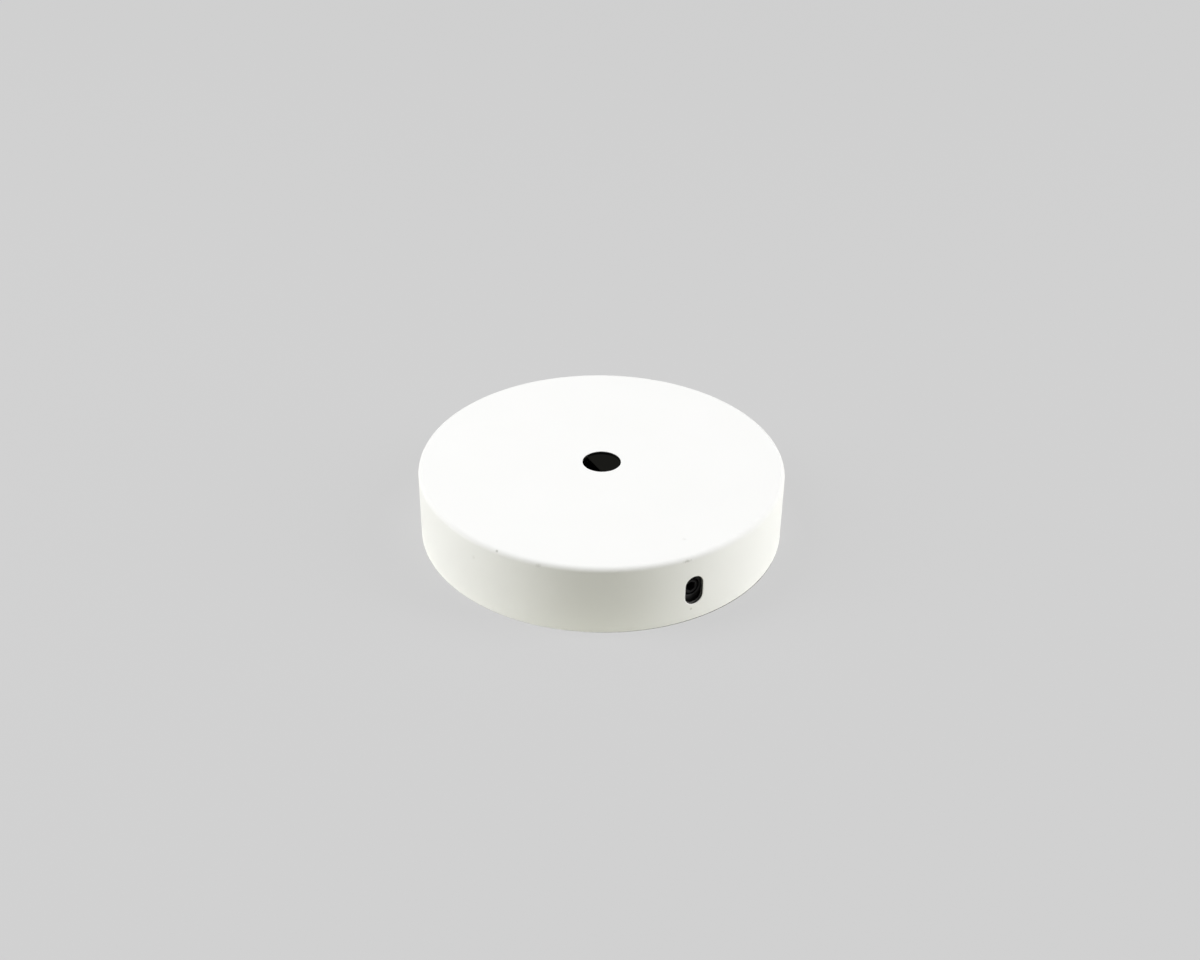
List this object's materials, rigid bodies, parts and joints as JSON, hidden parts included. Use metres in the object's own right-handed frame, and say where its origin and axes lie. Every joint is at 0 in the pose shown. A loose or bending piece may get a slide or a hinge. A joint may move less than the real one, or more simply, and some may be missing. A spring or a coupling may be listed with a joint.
{
  "type": "electrical ceiling rose",
  "caption": "Shallow round white steel ceiling rose with a central cable hole and slotted wall, over a folded fixing bracket with locking screws and an earth terminal.",
  "frame": {"origin": "centre of the cup's open rim, on the ceiling plane", "axes": "+Z from the ceiling towards the room, along the cable hole; X through the two slots of the cup and the ears of the bracket"},
  "size_m": [0.08, 0.08, 0.016],
  "materials": {
    "white_coat": "satin white powder coat on steel",
    "black_plate": "satin black plated steel",
    "black_oxide": "black oxide steel",
    "brass": "bright turned brass"
  },
  "bodies": {
    "root": {"cup": "white_coat", "fixing_bracket": "black_plate", "locking_screw_right": "black_oxide", "locking_screw_left": "black_oxide", "earth_screw": "brass", "earth_washer": "brass"}
  },
  "joints": []
}
